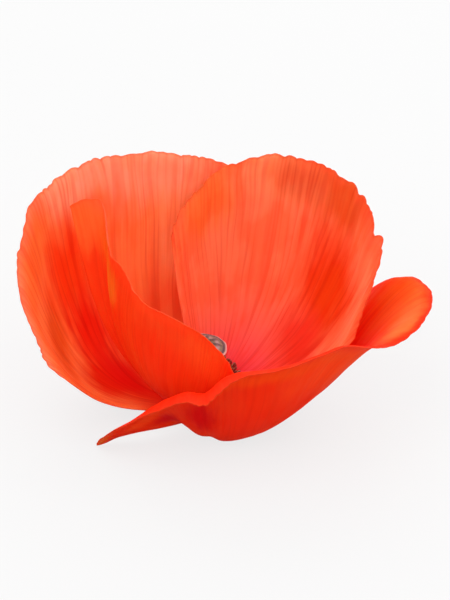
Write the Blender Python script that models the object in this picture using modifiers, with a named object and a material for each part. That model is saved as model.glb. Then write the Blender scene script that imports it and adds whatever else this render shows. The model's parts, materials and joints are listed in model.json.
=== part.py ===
"""Corn poppy blossom, as picked: four petals in two overlapping pairs, pistil, stamens and receptacle.

The flower is built about its own axis in millimetres, from the plane where the outer petals leave
the receptacle, and every object is then placed on the part's ground with its origin under the middle
of the bloom. +X is right, +Y is back and +Z is up.
"""

import math

import bmesh
import bpy
import numpy as np

MM = 0.001

# Where the flower's axis meets the part's frame, and how high the outer claws sit above the ground.
AXIS_X = -4.586
AXIS_Y = -2.708
CLAW_PLANE_Z = 1.975

# Petals: one thickness, a claw circle, and the level below which a belly lies flat on the ground.
PETAL_THICKNESS = 0.65
CLAW_RADIUS = 2.6
INNER_CLAW_RISE = 1.15
BELLY_FLAT = -1.65
BELLY_SOFTNESS = 0.35
PETAL_COLUMNS = 48
PETAL_ROWS = 13

# Crenate edge: share and pace of each of the waves that make it, and how far phase shifts each.
EDGE_WAVES = ((1.0, 1.0, 1.0), (0.6, 2.3, 1.7), (0.35, 4.1, 2.9))
EDGE_MEAN = 0.5

# Recurved lip of a petal: how much of its length goes outward and how much drops.
LIP_OUT = 0.97
LIP_DROP = 0.12
LIP_SHARPNESS = 40.0

# Receptacle and the short cut end of the stalk under it: radius and height of its turned profile.
RECEPTACLE_TOP = 1.7
RECEPTACLE_SIDES = 32
RECEPTACLE_PROFILE = [
    (0.0, -1.9), (1.0, -1.9), (1.0, -1.3), (1.3, -0.8), (2.0, -0.4), (2.3, 0.0),
    (2.3, 1.4), (2.0, RECEPTACLE_TOP), (0.0, RECEPTACLE_TOP),
]
SEAT_GAP = 0.3
SHARP_ANGLE = 40

# Pistil: ovary, neck and stigmatic disc with its raised rays.
PISTIL_FOOT = RECEPTACLE_TOP + SEAT_GAP
DISC_RADIUS = 4.0
DISC_EDGE = 12.0
PISTIL_PROFILE = [
    (0.0, PISTIL_FOOT), (1.2, PISTIL_FOOT), (1.5, PISTIL_FOOT + 0.9),
    (2.4, 4.8), (3.1, 7.6), (3.1, 9.6), (2.8, 11.0),
    (DISC_RADIUS - 0.4, DISC_EDGE - 0.5), (DISC_RADIUS, DISC_EDGE - 0.25),
    (DISC_RADIUS, DISC_EDGE + 0.1), (3.3, 12.35), (2.4, 12.6), (1.4, 12.85), (0.6, 13.0), (0.0, 13.0),
]
DISC_LEAN = 0.09
DISC_UNDERSIDE = 11.2
DISC_BLEND = 0.6
RAYS = 10
RAY_HEIGHT = 0.22
RAY_START = 1.2
RAY_BLEND = 0.1
SCALLOP = 0.05
SCALLOP_START = 3.0
PISTIL_SIDES = 60

# Stamens: a collar round the ovary's foot, and rings of filaments that end in anthers. Each ring has
# the radius of its roots, that of its tips and the height of its tips.
COLLAR_PROFILE = [
    (1.75, PISTIL_FOOT), (2.5, PISTIL_FOOT), (2.5, PISTIL_FOOT + 0.6),
    (2.3, PISTIL_FOOT + 0.8), (1.75, PISTIL_FOOT + 0.8),
]
COLLAR_SIDES = 40
STAMEN_RINGS = [(1.95, 4.95, 9.4), (2.3, 6.1, 6.9)]
STAMENS_PER_RING = 20
STAMEN_ROOT = PISTIL_FOOT + 0.35
STAMEN_SIDES = 5
TIP_SCATTER = 0.15
TOP_SCATTER = 0.5
TURN_SCATTER = 0.05
FILAMENT_RADIUS = 0.28
ANTHER_RADIUS = 0.55
ANTHER_LENGTH = 1.3
ANTHER_SHOULDER = 0.8
ANTHER_TIP = 0.25
STAMEN_SEED = 7

# Each petal: where its claw is centred and how wide it is (degrees of azimuth), how far heel and tail
# handles reach (shares of the chord), how fast azimuth spreads, where its lip starts, its ragged edge,
# its broad waves, and the stations of its rim: azimuth, radius, height, heel angle, lean and lip.
PETALS = {
    "petal_outer_back": {
        "claw_azimuth": 140, "claw_half": -55, "claw_rise": 0.0,
        "heel": 0.55, "tail": 0.36, "spread": 1.6, "lip_start": 0.97,
        "ragged": 0.02, "teeth": 9, "phase": 0.4, "corner": 0.05, "rounding": 0.05,
        "wave": 0.25, "waves": 6,
        "stations": [
            (204, 24.6, 13.9, 8, 46, 0.5),
            (192, 27.3, 20.8, -2, 60, 0.5),
            (174, 28.8, 29.0, -9, 70, 0.5),
            (156, 28.6, 33.8, -14, 76, 0.5),
            (136, 27.3, 35.6, -19, 80, 0.5),
            (116, 25.7, 35.3, -24, 82, 0.5),
            (97, 24.9, 34.3, -28, 82, 0.5),
            (79, 25.3, 32.1, -29, 82, 0.5),
            (58, 27.5, 25.0, -22, 75, 0.5),
        ],
    },
    "petal_outer_front": {
        "claw_azimuth": 313, "claw_half": 64, "claw_rise": 0.0,
        "heel": 0.52, "tail": 0.27, "spread": 2.2, "lip_start": 0.86,
        "ragged": 0.02, "teeth": 10, "phase": 1.4, "corner": 0.04, "rounding": 0.04,
        "wave": 0.3, "waves": 6,
        "stations": [
            (206, 18.4, -1.8, 18, -20, 0.5),
            (214, 18.6, 1.3, 20, 0, 1.2),
            (236, 17.2, 8.3, 18, 30, 3.0),
            (262, 19.0, 14.4, -10, 55, 3.2),
            (275, 19.9, 15.6, -15, 58, 3.4),
            (288, 20.4, 19.3, -30, 60, 2.4),
            (307, 24.0, 22.4, -20, 52, 0.8),
            (325, 28.3, 23.5, -14, 44, 0.8),
            (339, 32.5, 20.8, -7, 29, 1.5),
            (351, 37.1, 21.5, 2, 23, 2.0),
            (366, 37.8, 21.4, -27, 28, 2.0),
            (376, 34.8, 19.2, -8, 35, 1.5),
            (386, 30.0, 13.0, 0, 40, 0.5),
        ],
    },
    "petal_inner_left": {
        "claw_azimuth": 232, "claw_half": 35, "claw_rise": INNER_CLAW_RISE,
        "heel": 0.385, "tail": 0.38, "spread": 1.6, "lip_start": 0.97,
        "ragged": 0.015, "teeth": 7, "phase": 2.2, "corner": 0.06, "rounding": 0.04,
        "wave": 0.2, "waves": 4,
        "stations": [
            (156, 22.6, 34.8, 36, 76, 0.5),
            (157, 16.7, 36.4, 38, 85, 0.5),
            (168, 14.2, 30.0, 38, 98, 0.5),
            (182, 11.9, 28.5, 35, 103, 0.5),
            (199, 10.7, 26.6, 34, 106, 0.5),
            (223, 9.8, 25.3, 31, 106, 0.5),
            (250, 10.2, 24.8, 25, 102, 0.5),
            (271, 11.5, 23.9, 18, 96, 0.5),
            (283, 13.3, 22.1, 15, 90, 0.5),
            (291, 14.4, 19.4, 15, 84, 0.5),
            (297, 14.3, 14.5, 15, 78, 0.5),
        ],
    },
    "petal_inner_right": {
        "claw_azimuth": 45, "claw_half": -45, "claw_rise": INNER_CLAW_RISE,
        "heel": 0.42, "tail": 0.37, "spread": 2.4, "lip_start": 0.97,
        "ragged": 0.028, "teeth": 8, "phase": 3.1, "corner": 0.05, "rounding": 0.05,
        "wave": 0.3, "waves": 5,
        "stations": [
            (103, 20.6, 22.3, 0, 66, 0.5),
            (95, 21.4, 26.6, 0, 75, 0.5),
            (80, 22.6, 32.9, 0, 80, 0.5),
            (63, 25.0, 35.5, 0, 80, 0.5),
            (47, 27.3, 36.2, 0, 78, 0.5),
            (30, 28.4, 35.7, 0, 76, 0.5),
            (12, 29.4, 34.7, 0, 74, 0.5),
            (-3, 29.2, 30.4, 0, 72, 0.5),
            (-14, 27.4, 23.5, 0, 66, 0.5),
            (-22, 25.0, 17.5, 0, 58, 0.5),
        ],
    },
}

# Colours (linear), roughness and metallic of each sub-part.
FINISHES = {
    "petal_outer_back": ((0.93, 0.16, 0.07), 0.6, 0.0),
    "petal_outer_front": ((0.80, 0.06, 0.02), 0.6, 0.0),
    "petal_inner_left": ((0.90, 0.07, 0.015), 0.6, 0.0),
    "petal_inner_right": ((0.93, 0.09, 0.04), 0.6, 0.0),
    "pistil": ((0.22, 0.24, 0.12), 0.7, 0.0),
    "stamens": ((0.03, 0.01, 0.015), 0.8, 0.0),
    "receptacle": ((0.20, 0.27, 0.10), 0.7, 0.0),
}


def clear_scene():
    """Remove whatever the file opens with."""
    for item in list(bpy.data.objects):
        bpy.data.objects.remove(item, do_unlink=True)


def through(stations, u):
    """Catmull-Rom curve through evenly spaced stations, at each u from 0 to 1."""
    rows = np.asarray(stations, float)
    last = len(rows) - 1
    rows = np.vstack([2 * rows[0] - rows[1], rows, 2 * rows[-1] - rows[-2]])
    place = np.clip(u, 0.0, 1.0) * last
    start = np.minimum(place.astype(int), last - 1)
    t = (place - start)[:, None]
    a, b, c, d = (rows[start + step] for step in range(4))
    line = 2 * b + (c - a) * t
    bend = (2 * a - 5 * b + 4 * c - d) * t**2 + (3 * b - a - 3 * c + d) * t**3
    return 0.5 * (line + bend)


def bezier(a, b, c, d, t):
    """Cubic Bezier curve through a and d with handles b and c."""
    s = 1.0 - t
    return a * s**3 + 3 * b * s * s * t + 3 * c * s * t * t + d * t**3


def outline(petal, u):
    """Share of its full length that the petal keeps at u: crenate edge and rounded corners."""
    turn = 2 * math.pi * petal["teeth"] * u
    phase = petal["phase"]
    teeth = sum(share * np.sin(pace * turn + shift * phase) for share, pace, shift in EDGE_WAVES)
    teeth = teeth / (2 * sum(share for share, _, _ in EDGE_WAVES))
    corner = np.clip(1 - np.minimum(u, 1 - u) / petal["corner"], 0, 1) ** 2
    return 1 - petal["ragged"] * (EDGE_MEAN - teeth) - petal["rounding"] * corner


def petal_surface(petal, u, v):
    """Middle surface of a petal: u runs across it and v from claw to rim, in millimetres.

    Seen from the side, each line of constant u is a Bezier curve from the claw, which leaves at the
    heel angle and arrives at the lean, followed by the recurved lip. Seen from above, its azimuth
    spreads from the narrow claw to the rim's.
    """
    v = v * outline(petal, u)
    azimuth, radius, height, heel_angle, lean, lip = through(petal["stations"], u).T
    lip = np.maximum(lip, 0.0)
    radius = radius - LIP_OUT * lip
    height = height + LIP_DROP * lip
    lean = np.radians(lean)
    heel_angle = np.radians(heel_angle)
    claw = petal["claw_azimuth"] + (2 * u - 1) * petal["claw_half"]
    rise = petal["claw_rise"]
    chord = np.hypot(radius - CLAW_RADIUS, height - rise)
    heel = petal["heel"] * chord
    tail = petal["tail"] * chord
    along = v / petal["lip_start"]
    over = np.logaddexp(0.0, LIP_SHARPNESS * (along - 1)) / LIP_SHARPNESS
    body = along - over
    curl = lip * np.clip(over / (1 / petal["lip_start"] - 1), 0.0, None)
    heel_out = CLAW_RADIUS + heel * np.cos(heel_angle)
    heel_up = rise + heel * np.sin(heel_angle)
    tail_out = radius - tail * np.cos(lean)
    tail_up = height - tail * np.sin(lean)
    out = bezier(CLAW_RADIUS, heel_out, tail_out, radius, body) + LIP_OUT * curl
    up = bezier(rise, heel_up, tail_up, height, body) - LIP_DROP * curl
    wave = petal["wave"] * v**3 * np.sin(2 * math.pi * petal["waves"] * u + petal["phase"])
    out = out + wave * np.sin(lean)
    up = up - wave * np.cos(lean)
    spread = 1 - (1 - np.minimum(v, 1.0)) ** petal["spread"]
    turn = np.radians(claw + (azimuth - claw) * spread)
    return np.stack([out * np.cos(turn), out * np.sin(turn), lie_flat(up)], axis=-1)


def lie_flat(up):
    """Heights with everything under the belly's level eased onto it, as a petal lies on a table."""
    over = up - BELLY_FLAT
    eased = (over + BELLY_SOFTNESS) ** 2 / (4 * BELLY_SOFTNESS)
    over = np.where(over > BELLY_SOFTNESS, over, np.where(over < -BELLY_SOFTNESS, 0.0, eased))
    return BELLY_FLAT + over


def placed(points):
    """Points about the flower's axis, in millimetres, as metres in the part's frame."""
    return (np.asarray(points, float) + (AXIS_X, AXIS_Y, CLAW_PLANE_Z)) * MM


def finish(name):
    """Principled material of a sub-part."""
    colour, roughness, metallic = FINISHES[name]
    material = bpy.data.materials.new(name)
    material.use_nodes = True
    shader = material.node_tree.nodes["Principled BSDF"]
    shader.inputs["Base Color"].default_value = (*colour, 1.0)
    shader.inputs["Roughness"].default_value = roughness
    shader.inputs["Metallic"].default_value = metallic
    return material


def add_object(name, shape, collection, material=None):
    """Object made from a bmesh, linked to a collection."""
    mesh = bpy.data.meshes.new(name)
    shape.to_mesh(mesh)
    shape.free()
    if material:
        mesh.materials.append(material)
    thing = bpy.data.objects.new(name, mesh)
    collection.objects.link(thing)
    return thing


def add_petal(name, collection):
    """A grid laid on the petal's surface, split into triangles alike on both faces, and thickened."""
    petal = PETALS[name]
    shape = bmesh.new()
    bmesh.ops.create_grid(shape, x_segments=PETAL_COLUMNS, y_segments=PETAL_ROWS, size=0.5)
    flat = np.array([vertex.co[:2] for vertex in shape.verts]) + 0.5
    moved = placed(petal_surface(petal, flat[:, 0], flat[:, 1]))
    for vertex, place in zip(shape.verts, moved):
        vertex.co = place
    bmesh.ops.triangulate(shape, faces=shape.faces[:], quad_method="FIXED")
    thing = add_object(name, shape, collection, finish(name))
    thing.data.shade_smooth()
    wall = thing.modifiers.new("thickness", "SOLIDIFY")
    wall.thickness = PETAL_THICKNESS * MM
    wall.offset = 0.0
    wall.use_rim = True
    return thing


def turned(profile, sides, closed=False):
    """Body turned about +Z from (radius, height) pairs, which start and end on the axis or close up."""
    shape = bmesh.new()
    line = [shape.verts.new((radius, 0.0, height)) for radius, height in profile]
    following = line[1:] + line[:1] if closed else line[1:]
    edges = [shape.edges.new(pair) for pair in zip(line, following)]
    bmesh.ops.spin(
        shape, geom=line + edges, cent=(0, 0, 0), axis=(0, 0, 1),
        angle=2 * math.pi, steps=sides, use_merge=True,
    )
    bmesh.ops.remove_doubles(shape, verts=shape.verts, dist=0.0001)
    bmesh.ops.recalc_face_normals(shape, faces=shape.faces)
    return shape


def add_turned(name, shape, collection):
    """Object of a turned body, smooth but for the edges that turn sharply."""
    thing = add_object(name, shape, collection, finish(name))
    thing.data.shade_smooth()
    thing.data.set_sharp_from_angle(angle=math.radians(SHARP_ANGLE))
    return thing


def add_receptacle(collection):
    """Cut end of the stalk, widening into the seat that carries petals, stamens and pistil."""
    shape = turned(RECEPTACLE_PROFILE, RECEPTACLE_SIDES)
    for vertex in shape.verts:
        vertex.co = placed(vertex.co)
    return add_turned("receptacle", shape, collection)


def add_pistil(collection):
    """Ovary and stigmatic disc in one body: raised rays and a scalloped margin on a leaning disc."""
    shape = turned(PISTIL_PROFILE, PISTIL_SIDES)
    points = np.array([vertex.co[:] for vertex in shape.verts])
    radius = np.hypot(points[:, 0], points[:, 1])
    turn = np.arctan2(points[:, 1], points[:, 0])
    on_disc = np.clip((points[:, 2] - DISC_UNDERSIDE) / DISC_BLEND, 0, 1) * (radius > SCALLOP_START)
    on_top = np.clip((points[:, 2] - DISC_EDGE) / RAY_BLEND, 0, 1) * np.clip(radius / RAY_START, 0, 1)
    ray = np.clip(np.cos(RAYS * turn), 0, 1) ** 2
    swell = 1 + SCALLOP * np.cos(RAYS * turn) * on_disc
    points[:, 2] += RAY_HEIGHT * ray * on_top
    points[:, :2] *= swell[:, None]
    points[:, 0] += DISC_LEAN * (points[:, 2] - PISTIL_FOOT)
    for vertex, place in zip(shape.verts, placed(points)):
        vertex.co = place
    return add_turned("pistil", shape, collection)


def add_stamen(ring, index, random, collection):
    """One stamen: a filament sunk in the collar that leans out and ends in a plump anther."""
    root, tip, top = STAMEN_RINGS[ring]
    tip += random.uniform(-TIP_SCATTER, TIP_SCATTER)
    top += random.uniform(-TOP_SCATTER, TOP_SCATTER)
    azimuth = 2 * math.pi * (index + 0.5 * ring) / STAMENS_PER_RING
    azimuth += random.uniform(-TURN_SCATTER, TURN_SCATTER)
    length = math.hypot(tip - root, top - STAMEN_ROOT)
    profile = [
        (0.0, 0.0), (FILAMENT_RADIUS, 0.0), (FILAMENT_RADIUS, length - ANTHER_LENGTH),
        (ANTHER_RADIUS, length - ANTHER_SHOULDER * ANTHER_LENGTH),
        (ANTHER_RADIUS, length - ANTHER_TIP * ANTHER_LENGTH), (0.0, length),
    ]
    shape = turned(profile, STAMEN_SIDES)
    points = np.array([vertex.co[:] for vertex in shape.verts])
    lean = math.atan2(tip - root, top - STAMEN_ROOT)
    out = root + points[:, 0] * math.cos(lean) + points[:, 2] * math.sin(lean)
    up = STAMEN_ROOT - points[:, 0] * math.sin(lean) + points[:, 2] * math.cos(lean)
    side = points[:, 1]
    across = out * math.cos(azimuth) - side * math.sin(azimuth)
    back = out * math.sin(azimuth) + side * math.cos(azimuth)
    for vertex, place in zip(shape.verts, placed(np.stack([across, back, up], axis=-1))):
        vertex.co = place
    return add_object(f"stamen_{ring}_{index:02d}", shape, collection)


def add_stamens(collection, pieces):
    """Collar round the ovary's foot, joined with its stamens in one union."""
    shape = turned(COLLAR_PROFILE, COLLAR_SIDES, closed=True)
    for vertex in shape.verts:
        vertex.co = placed(vertex.co)
    thing = add_object("stamens", shape, collection, finish("stamens"))
    random = np.random.default_rng(STAMEN_SEED)
    for ring in range(len(STAMEN_RINGS)):
        for index in range(STAMENS_PER_RING):
            add_stamen(ring, index, random, pieces)
    join = thing.modifiers.new("join", "BOOLEAN")
    join.operation = "UNION"
    join.operand_type = "COLLECTION"
    join.collection = pieces
    join.solver = "EXACT"
    bpy.context.view_layer.update()
    evaluated = thing.evaluated_get(bpy.context.evaluated_depsgraph_get())
    joined = bpy.data.meshes.new_from_object(evaluated)
    thing.modifiers.remove(join)
    thing.data = joined
    for piece in list(pieces.objects):
        bpy.data.objects.remove(piece, do_unlink=True)
    bpy.data.collections.remove(pieces)
    return thing


def main():
    """Build the blossom."""
    clear_scene()
    blossom = bpy.data.collections.new("poppy_blossom")
    pieces = bpy.data.collections.new("stamen_pieces")
    bpy.context.scene.collection.children.link(blossom)
    bpy.context.scene.collection.children.link(pieces)
    add_receptacle(blossom)
    for name in PETALS:
        add_petal(name, blossom)
    add_pistil(blossom)
    add_stamens(blossom, pieces)


main()
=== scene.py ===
"""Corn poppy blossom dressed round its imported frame: silky petals, stigma, stamens and stalk end.

The flower is worked out about its own axis in millimetres, from the plane where the outer petals
leave the receptacle, and is then placed where the frame's receptacle stands.
"""

import sys

import json
import logging
import math
from collections.abc import Callable
from dataclasses import astuple, dataclass, field
from enum import Enum

import bpy
import numpy as np
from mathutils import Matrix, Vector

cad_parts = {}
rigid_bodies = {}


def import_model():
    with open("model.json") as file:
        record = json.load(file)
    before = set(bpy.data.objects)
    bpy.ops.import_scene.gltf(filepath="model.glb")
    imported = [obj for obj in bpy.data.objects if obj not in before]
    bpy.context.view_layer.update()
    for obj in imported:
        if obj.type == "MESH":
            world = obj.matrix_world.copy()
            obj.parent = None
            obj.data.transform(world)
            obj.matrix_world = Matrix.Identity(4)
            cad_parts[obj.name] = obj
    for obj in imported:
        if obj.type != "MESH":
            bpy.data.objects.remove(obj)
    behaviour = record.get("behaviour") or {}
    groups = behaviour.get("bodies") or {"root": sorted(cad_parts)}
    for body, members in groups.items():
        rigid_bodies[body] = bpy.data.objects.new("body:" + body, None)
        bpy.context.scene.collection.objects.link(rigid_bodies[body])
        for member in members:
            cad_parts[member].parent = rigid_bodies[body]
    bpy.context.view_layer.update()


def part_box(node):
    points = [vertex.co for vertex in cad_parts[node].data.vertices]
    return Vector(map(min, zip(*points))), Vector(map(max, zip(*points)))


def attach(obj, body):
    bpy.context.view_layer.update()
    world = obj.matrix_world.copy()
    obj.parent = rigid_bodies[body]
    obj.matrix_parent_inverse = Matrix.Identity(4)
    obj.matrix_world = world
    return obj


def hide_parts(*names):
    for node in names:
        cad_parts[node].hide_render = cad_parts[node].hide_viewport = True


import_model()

LOG = logging.getLogger("poppy")
MM = 0.001
BODY = "root"

Colour = tuple[float, float, float]
Points = np.ndarray
Socket = bpy.types.NodeSocket
Feed = Socket | float | Colour
Outputs = bpy.types.bpy_prop_collection
Fill = Callable[["Wiring", Outputs], dict[str, Socket]]
Span = tuple[float, float]
Bump = tuple[float, float]


class Face(Enum):
    """Which face of a petal a tint belongs to."""

    INNER = 1.0
    OUTER = 0.0


# ---------------------------------------------------------------- curves and surfaces


def through(stations: Points, u: Points) -> Points:
    """Catmull-Rom curve through evenly spaced stations.

    Args:
        stations: rows of numbers, one row a station.
        u: places along the curve, from 0 to 1.

    Returns:
        The rows found at each u.
    """
    rows = np.asarray(stations, float)
    last = len(rows) - 1
    rows = np.vstack([2 * rows[0] - rows[1], rows, 2 * rows[-1] - rows[-2]])
    place = np.clip(u, 0.0, 1.0) * last
    start = np.minimum(place.astype(int), last - 1)
    t = (place - start)[..., None]
    a, b, c, d = (rows[start + step] for step in range(4))
    line = 2 * b + (c - a) * t
    bend = (2 * a - 5 * b + 4 * c - d) * t**2 + (3 * b - a - 3 * c + d) * t**3
    return 0.5 * (line + bend)


def bezier(a: Points, b: Points, c: Points, d: Points, t: Points) -> Points:
    """Cubic Bezier curve from a to d with handles b and c, at each t from 0 to 1."""
    s = 1.0 - t
    return a * s**3 + 3 * b * s * s * t + 3 * c * s * t * t + d * t**3


def smooth(value: Points, low: float, high: float) -> Points:
    """0 below low, 1 above high and a smooth S between them."""
    t = np.clip((value - low) / (high - low), 0.0, 1.0)
    return t * t * (3 - 2 * t)


def drift(x: Points, y: Points, seed: int) -> Points:
    """Smooth value noise from -1 to 1: random numbers on a unit lattice, blended by S curves.

    Args:
        x: places across, in lattice cells.
        y: places along, in lattice cells.
        seed: picks the lattice's numbers.

    Returns:
        The noise at each place.
    """
    lattice = np.random.default_rng(seed).uniform(-1, 1, (256, 256))
    left, low = np.floor(x).astype(int), np.floor(y).astype(int)
    across, along = smooth(x - left, 0, 1), smooth(y - low, 0, 1)
    left, low = left % 256, low % 256
    right, high = (left + 1) % 256, (low + 1) % 256
    under = lattice[left, low] * (1 - across) + lattice[right, low] * across
    over = lattice[left, high] * (1 - across) + lattice[right, high] * across
    return under * (1 - along) + over * along


def normals(points: Points) -> Points:
    """Unit normals of a grid of points: the cross product of its two directions."""
    turn = np.cross(np.gradient(points, axis=0), np.gradient(points, axis=1))
    return turn / np.maximum(np.linalg.norm(turn, axis=-1, keepdims=True), 1e-12)


def mesh_object(
    name: str,
    points: Points,
    faces: list[list[int]],
    masks: dict[str, Points],
    uv: Points | None = None,
) -> bpy.types.Object:
    """Smooth mesh object at the origin.

    Args:
        name: the piece's name.
        points: vertices in metres, in the frame.
        faces: corners of each face, seen from outside in turn.
        masks: a number for each vertex under each attribute's name.
        uv: a pair for each vertex, or None.

    Returns:
        The object, linked to the scene.
    """
    mesh = bpy.data.meshes.new(name)
    mesh.from_pydata(points.tolist(), [], faces)
    mesh.shade_smooth()
    for title, values in masks.items():
        layer = mesh.attributes.new(title, "FLOAT", "POINT")
        layer.data.foreach_set("value", np.asarray(values, np.float32).ravel())
    if uv is not None:
        corner = np.zeros(len(mesh.loops), np.int32)
        mesh.loops.foreach_get("vertex_index", corner)
        layer = mesh.uv_layers.new(name="surface")
        layer.data.foreach_set("uv", np.asarray(uv, np.float32)[corner].ravel())
    mesh.validate()
    mesh.update()
    piece = bpy.data.objects.new(name, mesh)
    bpy.context.scene.collection.objects.link(piece)
    return piece


def shell_faces(columns: int, rows: int) -> list[list[int]]:
    """Faces of a thin closed shell: an upper grid, a lower grid turned round, and a rim between.

    Args:
        columns: points across each grid.
        rows: points along each grid.

    Returns:
        Corner lists; the lower grid's vertices follow the upper grid's.
    """
    index = np.arange(columns * rows).reshape(columns, rows)
    a, b, c, d = index[:-1, :-1], index[1:, :-1], index[1:, 1:], index[:-1, 1:]
    upper = np.stack([a, b, c, d], -1).reshape(-1, 4)
    lower = upper[:, ::-1] + columns * rows
    round_rim = np.concatenate([index[:-1, 0], index[-1, :-1], index[:0:-1, -1], index[0, :0:-1]])
    ahead = np.roll(round_rim, -1)
    rim = np.stack([ahead, round_rim, round_rim + columns * rows, ahead + columns * rows], -1)
    return np.concatenate([upper, lower, rim]).tolist()


def ring_faces(rings: int, sides: int, copies: int = 1) -> list[list[int]]:
    """Faces of closed turned bodies, each a pole, rings of points and a second pole.

    Args:
        rings: rings between the poles of each body.
        sides: points round each ring.
        copies: bodies, whose vertices follow one another.

    Returns:
        Corner lists that face outwards when the rings turn counterclockwise from the last pole.
    """
    index = 1 + np.arange(rings * sides).reshape(rings, sides)
    ahead = np.roll(index, -1, axis=1)
    walls = np.stack([index[:-1], ahead[:-1], ahead[1:], index[1:]], -1).reshape(-1, 4)
    first = np.stack([np.zeros(sides, int), ahead[0], index[0]], -1)
    last = np.stack([np.full(sides, 1 + rings * sides), index[-1], ahead[-1]], -1)
    step = (2 + rings * sides) * np.arange(copies)[:, None, None]
    quads = (walls[None] + step).reshape(-1, 4)
    fans = (np.concatenate([first, last])[None] + step).reshape(-1, 3)
    return quads.tolist() + fans.tolist()


def with_poles(rings: Points) -> Points:
    """Rings of points as rows, with a pole in the middle of the first and of the last.

    Args:
        rings: points (..., ring, side, 3).

    Returns:
        Points (..., vertex, 3).
    """
    low = rings[..., :1, :, :].mean(-2)
    high = rings[..., -1:, :, :].mean(-2)
    flat = rings.reshape(*rings.shape[:-3], -1, 3)
    return np.concatenate([low, flat, high], axis=-2)


def with_pole_values(mask: Points, shape: tuple[int, ...]) -> Points:
    """A mask over rings (ring, side) of a shape as one row, with values added for both poles."""
    flat = np.broadcast_to(mask, shape)
    return np.concatenate([flat[:1, 0], flat.ravel(), flat[-1:, 0]])


# ---------------------------------------------------------------- shader building


class Wiring:
    """Adds nodes to a tree and joins them."""

    def __init__(self, tree: bpy.types.NodeTree) -> None:
        """Keeps the tree."""
        self.tree = tree

    def feed(self, socket: Socket, value: Feed) -> None:
        """Links a socket to another, or sets its number or colour.

        Args:
            socket: the input that is fed.
            value: an output, a number or a colour.
        """
        if isinstance(value, Socket):
            self.tree.links.new(value, socket)
        elif isinstance(value, tuple) and socket.type == "RGBA":
            socket.default_value = (*value, 1.0)
        else:
            socket.default_value = value

    def node(
        self, kind: str, feeds: dict[str | int, Feed] | None = None, **settings: object
    ) -> bpy.types.Node:
        """A new node.

        Args:
            kind: Blender's node type.
            feeds: what goes into each input, by name or number.
            settings: the node's own settings, made before it is fed.

        Returns:
            The node.
        """
        made = self.tree.nodes.new(kind)
        for title, value in settings.items():
            setattr(made, title, value)
        for key, value in (feeds or {}).items():
            self.feed(made.inputs[key], value)
        return made

    def sum(self, operation: str, a: Feed, b: Feed = 0.0, clamp: bool = False) -> Socket:
        """Result of one arithmetic operation on a and b."""
        made = self.node("ShaderNodeMath", {0: a, 1: b}, operation=operation, use_clamp=clamp)
        return made.outputs[0]

    def blend(self, share: Feed, a: Feed, b: Feed, way: str = "MIX") -> Socket:
        """Colour a with a share of colour b.

        Args:
            share: how much of b there is, from 0 to 1.
            a: the colour underneath.
            b: the colour over it.
            way: Blender's name for how b acts on a.

        Returns:
            The mixed colour.
        """
        made = self.node("ShaderNodeMix", data_type="RGBA", blend_type=way)
        for place, value in ((0, share), (6, a), (7, b)):
            self.feed(made.inputs[place], value)
        return made.outputs[2]

    def ease(self, value: Feed, low: Feed, high: Feed) -> Socket:
        """0 below low, 1 above high and a smooth S between them."""
        feeds = {"Value": value, "From Min": low, "From Max": high}
        return self.node("ShaderNodeMapRange", feeds, interpolation_type="SMOOTHSTEP").outputs[0]

    def noise(self, vector: Feed, scale: Feed, detail: float = 0.0) -> Socket:
        """Value of a noise texture at a vector."""
        feeds = {"Vector": vector, "Scale": scale, "Detail": detail}
        return self.node("ShaderNodeTexNoise", feeds).outputs[0]

    def vector(self, x: Feed, y: Feed, z: Feed = 0.0) -> Socket:
        """A vector put together from three numbers."""
        return self.node("ShaderNodeCombineXYZ", {0: x, 1: y, 2: z}).outputs[0]

    def mask(self, title: str) -> Socket:
        """A mesh attribute's number."""
        return self.node("ShaderNodeAttribute", attribute_name=title).outputs["Fac"]


def group(title: str, inputs: dict[str, float | str], fill: Fill) -> bpy.types.NodeTree:
    """A node group, found by name or built anew.

    Args:
        title: the group's name.
        inputs: each input's starting number, or "VECTOR" for a vector.
        fill: works out the group's numbers by name, from its wiring and its inputs.

    Returns:
        The group.
    """
    found = bpy.data.node_groups.get(title)
    if found:
        return found
    made = bpy.data.node_groups.new(title, "ShaderNodeTree")
    for name, start in inputs.items():
        kind = "NodeSocketVector" if start == "VECTOR" else "NodeSocketFloat"
        socket = made.interface.new_socket(name, in_out="INPUT", socket_type=kind)
        if kind == "NodeSocketFloat":
            socket.default_value = start
    wire = Wiring(made)
    results = fill(wire, wire.node("NodeGroupInput").outputs)
    for name in results:
        made.interface.new_socket(name, in_out="OUTPUT", socket_type="NodeSocketFloat")
    wire.node("NodeGroupOutput", results)
    return made


# Bands of noise drawn out along a petal: pace across, stretch along, layer and detail.
COARSE = (1.0, 1.1, 0.0)
FINE = (2.3, 1.9, 4.0)
FADING = (0.4, 3.0, 7.0)
SLOW_WASH = (0.14, 4.5, 9.0, 3.0)
QUICK_WASH = (1.1, 2.2, 13.0)

# How far from the noise's middle each line reaches, and how strong the finer lines are.
COARSE_WIDTH = 0.11
FINE_WIDTH = 0.13
FINE_SHARE = 0.4

# Where the finer veins join in along the petal, and how faint a faded vein is.
FINE_JOINS = (0.25, 0.75)
FADED = 0.3

# Noise to mask: spans over which fading, washes and mottling set in.
FADING_SPAN = (0.32, 0.62)
WASH_SPAN = (0.44, 0.58)
MOTTLE_SPAN = (0.35, 0.7)

# Pace across and along of the noise by which veins stray and patches tear.
STRAY_PACE = (7.0, 3.0)
TEAR_PACE = (34.0, 7.0)


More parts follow.
